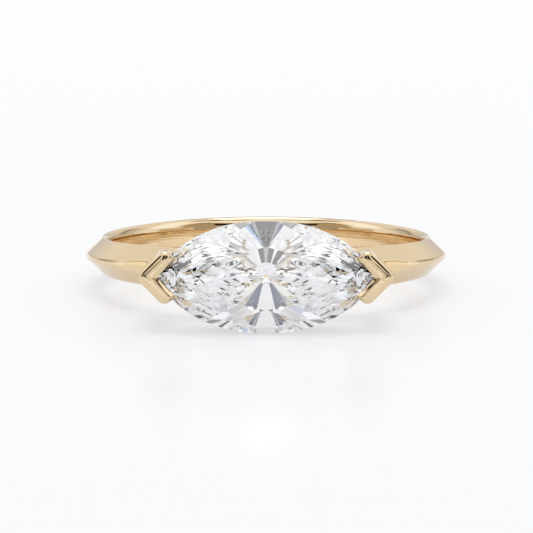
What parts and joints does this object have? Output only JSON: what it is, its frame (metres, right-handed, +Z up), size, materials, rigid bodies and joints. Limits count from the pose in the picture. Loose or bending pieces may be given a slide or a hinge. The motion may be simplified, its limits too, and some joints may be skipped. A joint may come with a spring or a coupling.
{
  "type": "east west ring",
  "caption": "Finger ring lying on its side: a knife edge gold hoop with a marquise stone set across the finger, held at its tips by V claws.",
  "frame": {"origin": "on the surface that the ring lies on, under the middle of its box", "axes": "-Y towards the stone, +Y towards the back of the hoop, +Z up; the finger hole's axis leans 4.8 degrees from +Z towards +Y"},
  "size_m": [0.0188, 0.0221, 0.0057],
  "materials": {
    "polished_gold": "polished light yellow gold",
    "white_stone": "faceted and polished, colourless"
  },
  "bodies": {
    "root": {"gold_hoop": "polished_gold", "marquise_stone": "white_stone"}
  },
  "joints": []
}
